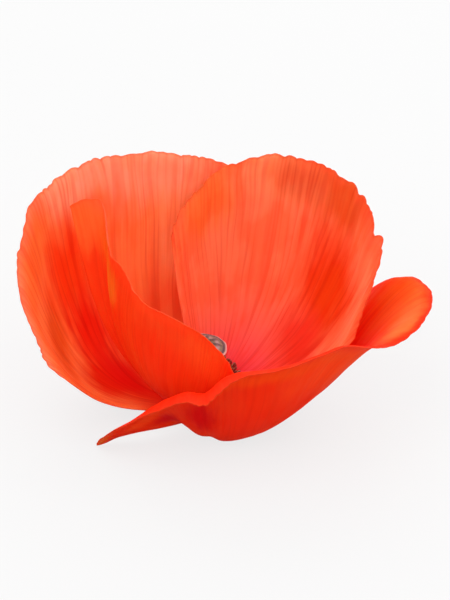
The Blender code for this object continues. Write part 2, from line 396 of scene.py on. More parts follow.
def veins_of(wire: Wiring, source: Outputs) -> dict[str, Socket]:
    """Veins that run from claw to rim: thin lines where stretched noise crosses its middle.

    Count sets how many there are across, and Wander how far they stray. A second, finer set
    joins in towards the rim, and both fade in and out along their way. Wash is soft ragged
    patches, torn along the veins, and Height is the crinkle that the veins raise.

    Args:
        wire: the group's wiring.
        source: the group's inputs, Surface, Count and Wander.

    Returns:
        Veins, Wash and Height.
    """
    parts = wire.node("ShaderNodeSeparateXYZ", {0: source["Surface"]}).outputs
    across, along = parts[0], parts[1]
    place = [wire.sum("MULTIPLY", part, pace) for part, pace in zip((across, along), STRAY_PACE)]
    stray = wire.sum("SUBTRACT", wire.noise(wire.vector(*place), 1.0, 1.0), 0.5)
    stray = wire.sum("MULTIPLY", stray, source["Wander"])
    across = wire.sum("ADD", across, stray)

    def band(pace: float, stretch: float, layer: float, detail: float = 0.0) -> Socket:
        """Noise drawn out along the petal, at a share of the count."""
        x = wire.sum("MULTIPLY", across, wire.sum("MULTIPLY", source["Count"], pace))
        return wire.noise(wire.vector(x, wire.sum("MULTIPLY", along, stretch), layer), 1.0, detail)

    def line(value: Socket, width: float) -> Socket:
        """1 where the noise crosses its middle, falling to 0 at a width from it."""
        away = wire.sum("ABSOLUTE", wire.sum("SUBTRACT", value, 0.5))
        return wire.sum("SUBTRACT", 1.0, wire.ease(away, 0.0, width))

    coarse, fine = band(*COARSE), band(*FINE)
    fading = wire.ease(band(*FADING), *FADING_SPAN)
    joined = wire.sum("MULTIPLY", line(fine, FINE_WIDTH), wire.ease(along, *FINE_JOINS))
    joined = wire.sum("MULTIPLY", joined, FINE_SHARE)
    veins = wire.sum("MAXIMUM", line(coarse, COARSE_WIDTH), joined)
    fading = wire.sum("ADD", wire.sum("MULTIPLY", fading, 1.0 - FADED), FADED)
    veins = wire.sum("MULTIPLY", veins, fading)
    slow = wire.sum("MULTIPLY", band(*SLOW_WASH), 0.75)
    quick = wire.sum("MULTIPLY", band(*QUICK_WASH), 0.25)
    wash = wire.ease(wire.sum("ADD", slow, quick), *WASH_SPAN)
    height = wire.sum("ADD", wire.sum("MULTIPLY", coarse, 0.7), wire.sum("MULTIPLY", fine, 0.3))
    return {"Veins": veins, "Wash": wash, "Height": height}


def patch_of(wire: Wiring, source: Outputs) -> dict[str, Socket]:
    """A soft ragged patch on the surface: 1 at its centre, 0 past its reach, broken up by noise.

    Args:
        wire: the group's wiring.
        source: the group's inputs, named in PATCH_INPUTS.

    Returns:
        Mask.
    """
    parts = wire.node("ShaderNodeSeparateXYZ", {0: source["Surface"]}).outputs
    x = wire.sum("DIVIDE", wire.sum("SUBTRACT", parts[0], source["Across"]), source["Reach Across"])
    y = wire.sum("DIVIDE", wire.sum("SUBTRACT", parts[1], source["Along"]), source["Reach Along"])
    away = wire.sum("SQRT", wire.sum("ADD", wire.sum("MULTIPLY", x, x), wire.sum("MULTIPLY", y, y)))
    tears = [wire.sum("MULTIPLY", part, pace) for part, pace in zip(parts, TEAR_PACE)]
    torn = wire.sum("SUBTRACT", wire.noise(wire.vector(*tears, 2.0), 1.0, 3.0), 0.5)
    away = wire.sum("ADD", away, wire.sum("MULTIPLY", torn, source["Ragged"]))
    inside = wire.sum("SUBTRACT", 1.0, source["Softness"])
    return {"Mask": wire.sum("SUBTRACT", 1.0, wire.ease(away, inside, 1.0))}


def grain_of(wire: Wiring, source: Outputs) -> dict[str, Socket]:
    """Fine grain and slow mottling of living tissue, both from noise at a place.

    Args:
        wire: the group's wiring.
        source: the group's inputs, Place, Grain Scale and Mottle Scale.

    Returns:
        Grain and Mottle.
    """
    grain = wire.noise(source["Place"], source["Grain Scale"], 2.0)
    mottle = wire.noise(source["Place"], source["Mottle Scale"], 3.0)
    mottle = wire.ease(mottle, *MOTTLE_SPAN)
    return {"Grain": grain, "Mottle": mottle}


VEIN_INPUTS = {"Surface": "VECTOR", "Count": 60.0, "Wander": 0.02}
PATCH_INPUTS = {
    "Surface": "VECTOR", "Across": 0.5, "Along": 0.5, "Reach Across": 0.1, "Reach Along": 0.1,
    "Ragged": 0.6, "Softness": 0.7,
}
GRAIN_INPUTS = {"Place": "VECTOR", "Grain Scale": 3000.0, "Mottle Scale": 250.0}


def start_material(name: str) -> tuple[bpy.types.Material, Wiring, bpy.types.Node]:
    """A new material, its wiring and its Principled shader."""
    made = bpy.data.materials.new(name)
    made.use_nodes = True
    return made, Wiring(made.node_tree), made.node_tree.nodes["Principled BSDF"]


def grain_on(wire: Wiring, grain_scale: float, mottle_scale: float) -> Outputs:
    """Adds the grain group, fed with Object coordinates.

    Args:
        wire: the material's wiring.
        grain_scale: scale of the fine grain.
        mottle_scale: scale of the slow mottling.

    Returns:
        The group's outputs, Grain and Mottle.
    """
    place = wire.node("ShaderNodeTexCoord").outputs["Object"]
    feeds = {"Place": place, "Grain Scale": grain_scale, "Mottle Scale": mottle_scale}
    grain = group("tissue_grain", GRAIN_INPUTS, grain_of)
    return wire.node("ShaderNodeGroup", feeds, node_tree=grain).outputs


def cover(
    wire: Wiring, shader: bpy.types.Node, colour: Feed, roughness: Feed, height: Feed, bump: Bump
) -> None:
    """Feeds a Principled shader its colour, roughness and bump.

    Args:
        wire: the material's wiring.
        shader: the Principled shader.
        colour: the base colour.
        roughness: the roughness.
        height: what the bump follows.
        bump: the bump's strength and its height in metres.
    """
    feeds = {"Strength": bump[0], "Distance": bump[1], "Height": height}
    wire.feed(shader.inputs["Base Color"], colour)
    wire.feed(shader.inputs["Roughness"], roughness)
    wire.feed(shader.inputs["Normal"], wire.node("ShaderNodeBump", feeds).outputs[0])


# ---------------------------------------------------------------- finishes


@dataclass(frozen=True)
class Tint:
    """Colours of one face of a petal, and the filters that its washes and veins lay over them."""

    blade: Colour
    rim: Colour
    heart: Colour
    wash: Colour = (0.98, 0.70, 0.55)
    vein: Colour = (0.80, 0.45, 0.40)
    heart_reach: float = 0.35
    wash_share: float = 0.5
    vein_share: float = 0.5


@dataclass(frozen=True)
class Patch:
    """A soft patch of another colour on one face of a petal; some patches are the petal's own tone,
    some are painted shade or painted light.
    """

    face: Face
    across: float
    along: float
    reach_across: float
    reach_along: float
    colour: Colour
    share: float = 1.0
    ragged: float = 0.6
    softness: float = 0.8


@dataclass(frozen=True)
class PetalFinish:
    """Silky veined petal, tinted apart on each face, that lets light through."""

    inner: Tint
    outer: Tint
    patches: tuple[Patch, ...] = ()
    vein_count: float = 60.0
    wander: float = 0.03
    roughness: float = 0.62
    rough_spread: float = 0.12
    glow: float = 0.35
    glow_reach: Colour = (1.0, 0.18, 0.06)
    glow_depth: float = 0.0012
    specular: float = 0.05
    # Painted shade: the edge colour darkens the outermost band of each petal, so that its lit lip
    # shows no bright line.
    edge: Colour = (0.62, 0.075, 0.012)
    edge_share: float = 0.6
    edge_span: Span = (0.975, 1.0)
    rim_span: Span = (0.86, 1.0)
    heart_start: float = 0.02
    grain: Span = (3000.0, 250.0)
    grain_share: float = 0.06
    bump: Bump = (0.5, 0.00007)

    def material(self, name: str) -> bpy.types.Material:
        """Builds the material.

        Args:
            name: the petal's name.

        Returns:
            A Principled material whose colour follows rim, heart, patches, washes and veins, with
            painted shade along the edge.
        """
        made, wire, shader = start_material(name)
        surface = wire.node("ShaderNodeUVMap", uv_map="surface").outputs[0]
        along = wire.node("ShaderNodeSeparateXYZ", {0: surface}).outputs[1]
        side = wire.mask("inner_face")
        feeds = {"Surface": surface, "Count": self.vein_count, "Wander": self.wander}
        veins = group("petal_veins", VEIN_INPUTS, veins_of)
        veins = wire.node("ShaderNodeGroup", feeds, node_tree=veins).outputs
        grain = grain_on(wire, *self.grain)

        def both(title: str) -> Socket:
            """The outer face's colour, or the inner face's where that shows."""
            return wire.blend(side, getattr(self.outer, title), getattr(self.inner, title))

        def share(title: str) -> Socket:
            """The outer face's number, or the inner face's where that shows."""
            low, high = getattr(self.outer, title), getattr(self.inner, title)
            return wire.sum("ADD", low, wire.sum("MULTIPLY", side, high - low))

        colour = wire.blend(wire.ease(along, *self.rim_span), both("blade"), both("rim"))
        away = wire.ease(along, self.heart_start, share("heart_reach"))
        heart = wire.sum("SUBTRACT", 1.0, away)
        colour = wire.blend(heart, colour, both("heart"))
        for patch in self.patches:
            feeds = {
                "Surface": surface, "Across": patch.across, "Along": patch.along,
                "Reach Across": patch.reach_across, "Reach Along": patch.reach_along,
                "Ragged": patch.ragged, "Softness": patch.softness,
            }
            spot = group("petal_patch", PATCH_INPUTS, patch_of)
            spot = wire.node("ShaderNodeGroup", feeds, node_tree=spot).outputs[0]
            here = side if patch.face is Face.INNER else wire.sum("SUBTRACT", 1.0, side)
            amount = wire.sum("MULTIPLY", spot, here)
            colour = wire.blend(wire.sum("MULTIPLY", amount, patch.share), colour, patch.colour)
        wash = wire.sum("MULTIPLY", veins["Wash"], share("wash_share"))
        colour = wire.blend(wash, colour, both("wash"), "MULTIPLY")
        lines = wire.sum("MULTIPLY", veins["Veins"], share("vein_share"))
        colour = wire.blend(lines, colour, both("vein"), "MULTIPLY")
        # Painted shade along the rim: the outermost band is darkened where the lit lip would shine.
        edge = wire.sum("MULTIPLY", wire.ease(along, *self.edge_span), self.edge_share)
        colour = wire.blend(edge, colour, self.edge)
        fine = wire.sum("MULTIPLY", grain["Grain"], self.grain_share)
        height = wire.sum("ADD", veins["Height"], fine)
        rough = wire.sum("MULTIPLY", veins["Wash"], self.rough_spread)
        rough = wire.sum("ADD", rough, self.roughness - self.rough_spread / 2)
        cover(wire, shader, colour, rough, height, self.bump)
        shader.inputs["Specular IOR Level"].default_value = self.specular
        shader.inputs["Subsurface Weight"].default_value = self.glow
        shader.inputs["Subsurface Radius"].default_value = self.glow_reach
        shader.inputs["Subsurface Scale"].default_value = self.glow_depth
        return made


@dataclass(frozen=True)
class StigmaFinish:
    """Waxy green ovary under a membranous disc with dark rays, bands and a pale lobed margin."""

    ovary: Colour = (0.20, 0.27, 0.12)
    ovary_fleck: Colour = (0.30, 0.34, 0.18)
    membrane: Colour = (0.17, 0.12, 0.065)
    membrane_fleck: Colour = (0.24, 0.14, 0.095)
    margin: Colour = (0.62, 0.34, 0.32)
    band: Colour = (0.055, 0.030, 0.045)
    veil: Colour = (0.36, 0.21, 0.20)
    ray: Colour = (0.060, 0.022, 0.026)
    ray_fleck: Colour = (0.09, 0.05, 0.07)
    ray_share: float = 0.75
    grain: Span = (6000.0, 900.0)
    bump: Bump = (0.6, 0.0001)

    def material(self, name: str) -> bpy.types.Material:
        """Builds the material from the masks that the pistil's mesh carries.

        Args:
            name: the material's name.

        Returns:
            A Principled material.
        """
        made, wire, shader = start_material(name)
        grain = grain_on(wire, *self.grain)
        half = wire.sum("MULTIPLY", grain["Mottle"], 0.5)
        flecks = wire.sum("MULTIPLY", grain["Mottle"], 0.4)
        colour = wire.blend(flecks, self.ovary, self.ovary_fleck)
        top = wire.blend(half, self.membrane, self.membrane_fleck)
        for title, over in (
            ("disc", top), ("veil", self.veil), ("band", self.band), ("margin", self.margin),
        ):
            colour = wire.blend(wire.mask(title), colour, over)
        velvet = wire.blend(half, self.ray, self.ray_fleck)
        ray = wire.mask("ray")
        colour = wire.blend(wire.sum("MULTIPLY", ray, self.ray_share), colour, velvet)
        rough = wire.sum("ADD", wire.sum("MULTIPLY", ray, 0.35), 0.5)
        cover(wire, shader, colour, rough, grain["Grain"], self.bump)
        shader.inputs["Sheen Weight"].default_value = 0.15
        return made


@dataclass(frozen=True)
class StamenFinish:
    """Dark violet threads and maroon anthers with pollen along their seams."""

    thread: Colour = (0.035, 0.008, 0.020)
    anther: Colour = (0.24, 0.010, 0.002)
    pollen: Colour = (0.82, 0.40, 0.20)
    grain: Span = (5000.0, 1800.0)
    bump: Bump = (0.7, 0.0001)

    def material(self, name: str) -> bpy.types.Material:
        """Builds the material from the masks that the stamens' mesh carries.

        Args:
            name: the material's name.

        Returns:
            A Principled material.
        """
        made, wire, shader = start_material(name)
        grain = grain_on(wire, *self.grain)
        body = wire.blend(wire.mask("anther"), self.thread, self.anther)
        thick = wire.sum("ADD", 0.35, grain["Mottle"])
        dust = wire.sum("MULTIPLY", wire.mask("seam"), thick, clamp=True)
        rough = wire.sum("ADD", 0.5, wire.sum("MULTIPLY", dust, 0.4))
        colour = wire.blend(dust, body, self.pollen)
        cover(wire, shader, colour, rough, grain["Grain"], self.bump)
        return made


@dataclass(frozen=True)
class StalkFinish:
    """Matt green skin with lengthwise lines, paler and fibrous where it was cut."""

    skin: Colour = (0.16, 0.25, 0.07)
    line: Colour = (0.30, 0.30, 0.12)
    shade: Colour = (0.10, 0.16, 0.05)
    cut: Colour = (0.55, 0.60, 0.33)
    grain: Span = (5000.0, 1200.0)
    bump: Bump = (0.5, 0.0001)

    def material(self, name: str) -> bpy.types.Material:
        """Builds the material from the masks that the receptacle's mesh carries.

        Args:
            name: the material's name.

        Returns:
            A Principled material.
        """
        made, wire, shader = start_material(name)
        grain = grain_on(wire, *self.grain)
        colour = wire.blend(wire.sum("MULTIPLY", wire.mask("rib"), 0.7), self.skin, self.line)
        colour = wire.blend(wire.sum("MULTIPLY", grain["Mottle"], 0.3), colour, self.shade)
        colour = wire.blend(wire.mask("cut"), colour, self.cut)
        rough = wire.sum("ADD", 0.55, wire.sum("MULTIPLY", grain["Mottle"], 0.15))
        cover(wire, shader, colour, rough, grain["Grain"], self.bump)
        return made


# ---------------------------------------------------------------- the flower's parts


@dataclass(frozen=True)
class Axis:
    """Where the flower's axis stands in the frame, in metres, at the plane of the outer claws."""

    x: float
    y: float
    z: float

    @classmethod
    def of_frame(cls, stalk_end: float) -> "Axis":
        """The axis through the frame's receptacle, whose low end is at stalk_end millimetres."""
        low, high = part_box("receptacle")
        return cls((low.x + high.x) / 2, (low.y + high.y) / 2, low.z - stalk_end * MM)

    def place(self, points: Points) -> Points:
        """Millimetres about the flower's axis as metres in the frame."""
        return points * MM + np.array([self.x, self.y, self.z])


@dataclass(frozen=True)
class Station:
    """A place on a petal's rim in degrees and millimetres, and how the petal leaves and arrives."""

    azimuth: float
    radius: float
    height: float
    heel_angle: float
    lean: float
    lip: float = 0.5


@dataclass(frozen=True)
class Notch:
    """A nick in a petal's rim: where it is, how wide and how deep, as shares."""

    across: float
    width: float
    depth: float


# Waves of the crenate edge: share, pace and phase shift of each, and how far all of them reach.
CRENATE = ((1.0, 1.0, 1.0), (0.6, 2.3, 1.7), (0.35, 4.1, 2.9))
CRENATE_REACH = 3.9

# The frill: pace at which it comes and goes, how far its scallops stray and at what pace, how sharp
# they are, and the pace and share of the finer nicks between them.
FRILL_DRIFT = 9
FRILL_STRAY = 0.7
FRILL_STRAY_PACE = 23
FRILL_SHARPNESS = 0.7
NICK_PACE = 3.1
NICK_SHARE = 0.35


@dataclass
class Petal:
    """One petal: a thin closed shell on a surface swept from claw to rim."""

    name: str
    node: str
    slot: str
    finish: PetalFinish
    stations: tuple[Station, ...]
    claw_azimuth: float
    claw_half: float
    claw_rise: float = 0.0
    heel: float = 0.5
    tail: float = 0.36
    spread: float = 1.6
    lip_start: float = 0.97
    ragged: float = 0.02
    teeth: float = 9
    phase: float = 0.0
    corner: float = 0.05
    rounding: float = 0.05
    wave: float = 0.25
    waves: int = 6
    notches: tuple[Notch, ...] = ()
    frill: float = 0.019
    frills: float = 34.0
    crinkle: float = 0.04
    crinkles: float = 70.0
    crumple: float = 0.16
    ruffle: float = 0.16
    seed: int = 1
    columns: int = 330
    rows: int = 118
    thickness: float = 0.17
    claw_radius: float = 2.6
    belly: float = -1.65
    belly_softness: float = 0.35
    lip_out: float = 0.97
    lip_drop: float = 0.12
    lip_sharpness: float = 40.0

    def outline(self, u: Points) -> Points:
        """Share of its full length that the petal keeps at u.

        Three slow waves make the crenate edge, drifting noise and a sharp fine wave its frill,
        and rounded corners and nicks are taken off.

        Args:
            u: places across, from 0 to 1.

        Returns:
            The shares.
        """
        turn = 2 * math.pi * self.teeth * u
        waves = (share * np.sin(pace * turn + shift * self.phase) for share, pace, shift in CRENATE)
        wave = sum(waves) / CRENATE_REACH
        corner = np.clip(1 - np.minimum(u, 1 - u) / self.corner, 0, 1) ** 2
        uneven = 0.5 + 0.5 * drift(u * FRILL_DRIFT, u * 0 + 3, self.seed + 5)
        place = u * self.frills + FRILL_STRAY * drift(u * FRILL_STRAY_PACE, u * 0, self.seed)
        scallop = 1 - np.abs(np.sin(math.pi * place)) ** FRILL_SHARPNESS
        fine = 0.5 + 0.5 * drift(u * self.frills * NICK_PACE, u * 0 + 1, self.seed + 9)
        kept = 1 - self.ragged * (0.5 - wave) - self.rounding * corner
        kept = kept - self.frill * (scallop * uneven + NICK_SHARE * fine)
        for notch in self.notches:
            near = np.clip(1 - np.abs(u - notch.across) / notch.width, 0, 1)
            kept = kept - notch.depth * near**1.3
        return kept

    def lie_flat(self, up: Points) -> Points:
        """Heights with everything under the belly's level eased onto it, as on a table.

        Args:
            up: heights in millimetres.

        Returns:
            The eased heights.
        """
        over = up - self.belly
        soft = self.belly_softness
        eased = (over + soft) ** 2 / (4 * soft)
        return self.belly + np.where(over > soft, over, np.where(over < -soft, 0.0, eased))

    def surface(self, u: Points, v: Points) -> Points:
        """Middle surface in millimetres, u across and v from claw to rim.

        Seen from the side, each line of constant u is a Bezier curve that leaves the claw at
        the heel angle and arrives at the lean, followed by a recurved lip. Seen from above, its
        azimuth spreads from the claw's to the rim's. A broad wave grows with the cube of v.

        Args:
            u: places across, from 0 to 1.
            v: places from claw to rim, from 0 to 1.

        Returns:
            Points about the flower's axis.
        """
        v = v * self.outline(u)
        table = np.array([astuple(station) for station in self.stations])
        azimuth, radius, height, heel_angle, lean, lip = np.moveaxis(through(table, u), -1, 0)
        lip = np.maximum(lip, 0.0)
        radius = radius - self.lip_out * lip
        height = height + self.lip_drop * lip
        lean, heel_angle = np.radians(lean), np.radians(heel_angle)
        claw = self.claw_azimuth + (2 * u - 1) * self.claw_half
        rise = self.claw_rise
        chord = np.hypot(radius - self.claw_radius, height - rise)
        heel, tail = self.heel * chord, self.tail * chord
        along = v / self.lip_start
        over = np.logaddexp(0.0, self.lip_sharpness * (along - 1)) / self.lip_sharpness
        body = along - over
        curl = lip * np.clip(over / (1 / self.lip_start - 1), 0.0, None)
        heel_out = self.claw_radius + heel * np.cos(heel_angle)
        heel_up = rise + heel * np.sin(heel_angle)
        tail_out = radius - tail * np.cos(lean)
        tail_up = height - tail * np.sin(lean)
        out = bezier(self.claw_radius, heel_out, tail_out, radius, body) + self.lip_out * curl
        up = bezier(rise, heel_up, tail_up, height, body) - self.lip_drop * curl
        wave = self.wave * v**3 * np.sin(2 * math.pi * self.waves * u + self.phase)
        out = out + wave * np.sin(lean)
        up = up - wave * np.cos(lean)
        spread = 1 - (1 - np.minimum(v, 1.0)) ** self.spread
        turn = np.radians(claw + (azimuth - claw) * spread)
        return np.stack([out * np.cos(turn), out * np.sin(turn), self.lie_flat(up)], axis=-1)

    def folds(self, u: Points, v: Points) -> Points:
        """How far the silk stands off its middle surface, in millimetres.

        Fine crinkles are noise drawn out from claw to rim, crumples are slower noise, and both
        grow from nothing at the claw; a ruffle joins in near the rim.

        Args:
            u: places across, from 0 to 1.
            v: places from claw to rim, from 0 to 1.

        Returns:
            The distances along the surface's normals.
        """
        grow = smooth(v, 0.05, 0.6)
        stray = u + 0.012 * drift(u * 6, v * 4, self.seed + 1)
        crinkle = drift(stray * self.crinkles, v * 1.3, self.seed + 2)
        crinkle = crinkle + 0.5 * drift(stray * self.crinkles * 2.2, v * 2.1, self.seed + 3)
        crumple = drift(stray * 13, v * 4.5, self.seed + 4)
        crumple = crumple + 0.5 * drift(stray * 24, v * 7, self.seed + 6)
        ruffle = drift(u * 34, v * 2, self.seed + 7) * smooth(v, 0.82, 1.0)
        folds = self.crinkle * crinkle + self.crumple * crumple + self.ruffle * ruffle
        return grow * folds

    def build(self, axis: Axis) -> bpy.types.Object:
        """Builds, dresses and mounts the petal.

        Args:
            axis: where the flower stands.

        Returns:
            The petal's object.
        """
        across = np.linspace(0, 1, self.columns)
        length = np.linspace(0, 1, self.rows) ** 0.9
        u, v = np.meshgrid(across, length, indexing="ij")
        middle = self.surface(u, v)
        facing = normals(middle)
        probe = (self.columns // 2, int(self.rows * 0.7))
        inwards = np.array([-middle[probe][0], -middle[probe][1], 8.0])
        if facing[probe] @ inwards < 0:
            u, middle, facing = u[::-1], middle[::-1], -facing[::-1]
        off = self.folds(u, v)
        off = off * smooth(middle[..., 2], self.belly + 0.05, self.belly + 1.2)
        middle = middle + facing * off[..., None]
        facing = normals(middle)
        thin_rim, thick_claw = 0.45 * smooth(v, 0.9, 1.0), 0.6 * (1 - smooth(v, 0.0, 0.25))
        wall = (0.5 * self.thickness * (1 - thin_rim + thick_claw))[..., None]
        inner, outer = middle + facing * wall, middle - facing * wall
        points = axis.place(np.concatenate([inner.reshape(-1, 3), outer.reshape(-1, 3)]))
        count = u.size
        masks = {"inner_face": np.repeat([1.0, 0.0], count)}
        uv = np.tile(np.stack([u.ravel(), v.ravel()], -1), (2, 1))
        piece = mesh_object(self.name, points, shell_faces(self.columns, self.rows), masks, uv)
        piece.data.materials.append(self.finish.material(self.name))
        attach(piece, BODY)
        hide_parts(self.node)
        LOG.info("%s: %d points", self.name, len(points))
        return piece


@dataclass
class Pistil:
    """Ovary and stigmatic disc as one turned surface, with rays raised and a lobed margin.

    Spans say over which shares of the disc's radius a mask fades in or out, and the rays' half
    width in millimetres.
    """

    finish: StigmaFinish = field(default_factory=StigmaFinish)
    foot: float = 2.0
    disc_radius: float = 4.0
    disc_edge: float = 12.0
    lean: float = 0.09
    rays: int = 10
    ray_half: Span = (0.16, 0.36)
    ray_end: Span = (0.66, 0.84)
    ray_height: float = 0.22
    band_in: Span = (0.80, 0.87)
    band_out: Span = (0.91, 0.95)
    veil_in: Span = (0.50, 0.60)
    veil_out: Span = (0.66, 0.76)
    margin_in: Span = (0.93, 0.985)
    sides: int = 360
    rings: int = 120

    def profile(self) -> Points:
        """Radius and height of stations from the foot over the disc's margin to its crown.

        Returns:
            A row for each station.
        """
        r, e, f = self.disc_radius, self.disc_edge, self.foot
        return np.array([
            (1.0, f), (1.25, f + 0.1), (1.5, f + 0.9), (2.0, 3.9), (2.55, 5.2), (3.0, 6.8),
            (3.15, 8.4), (3.05, 9.8), (2.8, 11.0), (3.1, e - 0.75), (3.7, e - 0.45), (r, e - 0.25),
            (r + 0.06, e - 0.12), (r, e), (3.7, e + 0.16), (3.3, e + 0.3), (2.7, e + 0.48),
            (2.0, e + 0.68), (1.3, e + 0.86), (0.7, e + 0.98), (0.25, e + 1.02),
        ])

    def build(self, axis: Axis) -> bpy.types.Object:
        """Builds, dresses and mounts the pistil.

        Rays are strips of one width along ten radii that fade before the margin, and lobes
        widen the margin between them.

        Args:
            axis: where the flower stands.

        Returns:
            The pistil's object.
        """
        along = np.linspace(0, 1, self.rings)[:, None]
        turn = np.linspace(0, 2 * math.pi, self.sides, endpoint=False)[None]
        radius, height = np.moveaxis(through(self.profile(), along[:, 0]), -1, 0)
        radius, height = radius[:, None] + 0 * turn, height[:, None] + 0 * turn
        place = np.cos(self.rays * turn)
        reach = radius / self.disc_radius
        upper = smooth(along, 0.62, 0.68)
        disc = smooth(height, self.disc_edge - 1.0, self.disc_edge - 0.6)
        away = np.abs((self.rays * turn / math.pi + 1) % 2 - 1) * math.pi / self.rays * radius
        ray = upper * (1 - smooth(away, *self.ray_half)) * smooth(radius, 0.1, 0.5)
        ray = ray * (1 - smooth(reach, *self.ray_end))
        lobes = 1 - disc * smooth(reach, 0.6, 1.0) * (0.005 + 0.012 * place)
        ribs = 1 + 0.02 * place * (1 - disc) * smooth(height, 3.0, 6.0)
        rough = drift(turn * 30 + 0 * along, along * 60 + 0 * turn, 41)
        swell = upper * place * (1 - smooth(reach, 0.9, 1.0)) * smooth(reach, 0.3, 0.6)
        height = height + self.ray_height * ray + 0.03 * rough * disc + 0.06 * swell
        out = radius * lobes * ribs
        rings = np.stack([out * np.cos(turn), out * np.sin(turn), height], -1)
        rings[..., 0] += self.lean * (rings[..., 2] - self.foot)
        masks = {
            "disc": disc, "ray": ray, "margin": smooth(reach, *self.margin_in) * disc,
            "band": upper * smooth(reach, *self.band_in) * (1 - smooth(reach, *self.band_out)),
            "veil": upper * smooth(reach, *self.veil_in) * (1 - smooth(reach, *self.veil_out)),
        }
        masks = {title: with_pole_values(mask, radius.shape) for title, mask in masks.items()}
        points = axis.place(with_poles(rings))
        piece = mesh_object("pistil_body", points, ring_faces(self.rings, self.sides), masks)
        piece.data.materials.append(self.finish.material("pistil"))
        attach(piece, BODY)
        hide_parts("pistil")
        LOG.info("pistil_body: %d points", len(points))
        return piece


@dataclass
class Stamens:
    """Rings of dark threads that arch out from the ovary's foot, each with a two-lobed anther.

    Each ring is a count, the radius of the roots, and the radius and height of the tips.
    """

    finish: StamenFinish = field(default_factory=StamenFinish)
    rings: tuple[tuple[int, float, float, float], ...] = (
        (40, 1.9, 4.7, 8.6), (46, 2.1, 5.6, 7.4), (44, 2.3, 6.3, 5.9),
    )
    root_height: float = 2.2
    thread_radius: float = 0.13
    anther_length: float = 1.15
    anther_radius: float = 0.31
    thread_rings: int = 10
    thread_sides: int = 6
    anther_rings: int = 9
    anther_sides: int = 12
    anther_groove: float = 0.35
    turn_stray: float = 0.35
    tip_stray: float = 0.45
    height_stray: float = 0.9
    sway: float = 0.12
    heading_stray: float = 0.5
    length_stray: float = 0.15
    seed: int = 11

    def layout(self) -> tuple[Points, ...]:
        """Azimuth, root radius, tip radius, tip height and sway of every stamen.

        Returns:
            An array for each of the five.
        """
        random = np.random.default_rng(self.seed)
        columns = []
        for count, root, tip, top in self.rings:
            turn, out, up, sway = (
                random.uniform(-stray, stray, count)
                for stray in (self.turn_stray, self.tip_stray, self.height_stray, self.sway)
            )
            turn = 2 * math.pi * (np.arange(count) + turn) / count
            columns.append(np.stack([turn, np.full(count, root), tip + out, top + up, sway]))
        return tuple(np.concatenate(columns, axis=1))

    def tubes(self, path: Points, radius: Points, groove: float, sides: int) -> Points:
        """Tubes round many paths, with poles.

        Args:
            path: points (copy, ring, 3) along each tube's middle.
            radius: a radius for each ring.
            groove: how deep the lengthwise grooves are, as a share.
            sides: points round each ring.

        Returns:
            Points (copy, vertex, 3): a point is its middle plus the radius along a side vector,
            level and square to the path, and a normal square to both.
        """
        ahead = np.gradient(path, axis=1)
        ahead = ahead / np.linalg.norm(ahead, axis=-1, keepdims=True)
        middle = path.mean(axis=1, keepdims=True)
        level = np.stack([-middle[..., 1], middle[..., 0], 0 * middle[..., 2]], -1)
        level = level / np.linalg.norm(level, axis=-1, keepdims=True) + 0 * ahead
        level = level - ahead * (level * ahead).sum(-1, keepdims=True)
        level = level / np.linalg.norm(level, axis=-1, keepdims=True)
        square = np.cross(ahead, level)
        turn = np.linspace(0, 2 * math.pi, sides, endpoint=False)
        reach = radius[..., None] * (1 - groove * np.abs(np.sin(turn)) ** 5)
        level, square = level[..., None, :], 0.8 * square[..., None, :]
        ring = level * np.cos(turn)[:, None] + square * np.sin(turn)[:, None]
        return with_poles(path[..., None, :] + reach[..., None] * ring)

    def build(self, axis: Axis) -> bpy.types.Object:
        """Builds, dresses and mounts the stamens: threads are Bezier curves, anthers spindles.

        Args:
            axis: where the flower stands.

        Returns:
            The stamens' object.
        """
        turn, root, tip, top, sway = self.layout()
        count = len(turn)
        t = np.linspace(0, 1, self.thread_rings)[None]
        root, tip, top = root[:, None], tip[:, None], top[:, None]
        radius = bezier(root, root + 0.5, tip - 0.6, tip, t)
        low = np.full_like(top, self.root_height)
        height = bezier(low, low + 0.45 * (top - low), top - 1.2, top, t)
        azimuth = turn[:, None] + sway[:, None] * t**2
        path = np.stack([radius * np.cos(azimuth), radius * np.sin(azimuth), height], -1)
        slim = self.thread_radius * (1 - 0.35 * t) + 0 * radius
        threads = self.tubes(path, slim, 0.0, self.thread_sides)
        heading = path[:, -1] - path[:, -2]
        heading = heading / np.linalg.norm(heading, axis=-1, keepdims=True)
        random = np.random.default_rng(self.seed + 1)
        heading = heading + random.uniform(-self.heading_stray, self.heading_stray, heading.shape)
        heading = heading / np.linalg.norm(heading, axis=-1, keepdims=True)
        s = np.linspace(0.02, 0.98, self.anther_rings)[None]
        stretch = 1 + random.uniform(-self.length_stray, self.length_stray, count)
        length = self.anther_length * stretch[:, None]
        spine = path[:, -1:, :] + heading[:, None, :] * ((s - 0.15) * length)[..., None]
        plump = self.anther_radius * np.sqrt(np.clip(1 - (2 * s - 1) ** 4, 0.03, 1)) + 0 * length
        anthers = self.tubes(spine, plump, self.anther_groove, self.anther_sides)
        start = threads.shape[0] * threads.shape[1]
        faces = ring_faces(self.thread_rings, self.thread_sides, count)
        more = ring_faces(self.anther_rings, self.anther_sides, count)
        faces += [[corner + start for corner in face] for face in more]
        side = np.linspace(0, 2 * math.pi, self.anther_sides, endpoint=False)
        seam = np.tile(smooth(np.abs(np.sin(side)), 0.85, 1.0), self.anther_rings)
        seam = np.tile(np.concatenate([[0.4], seam, [0.4]]), count)
        points = np.concatenate([threads.reshape(-1, 3), anthers.reshape(-1, 3)])
        masks = {
            "anther": np.repeat([0.0, 1.0], [start, len(seam)]),
            "seam": np.concatenate([np.zeros(start), seam]),
        }
        piece = mesh_object("stamen_ring", axis.place(points), faces, masks)
        piece.data.materials.append(self.finish.material("stamens"))
        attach(piece, BODY)
        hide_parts("stamens")
        LOG.info("stamen_ring: %d stamens", count)
        return piece


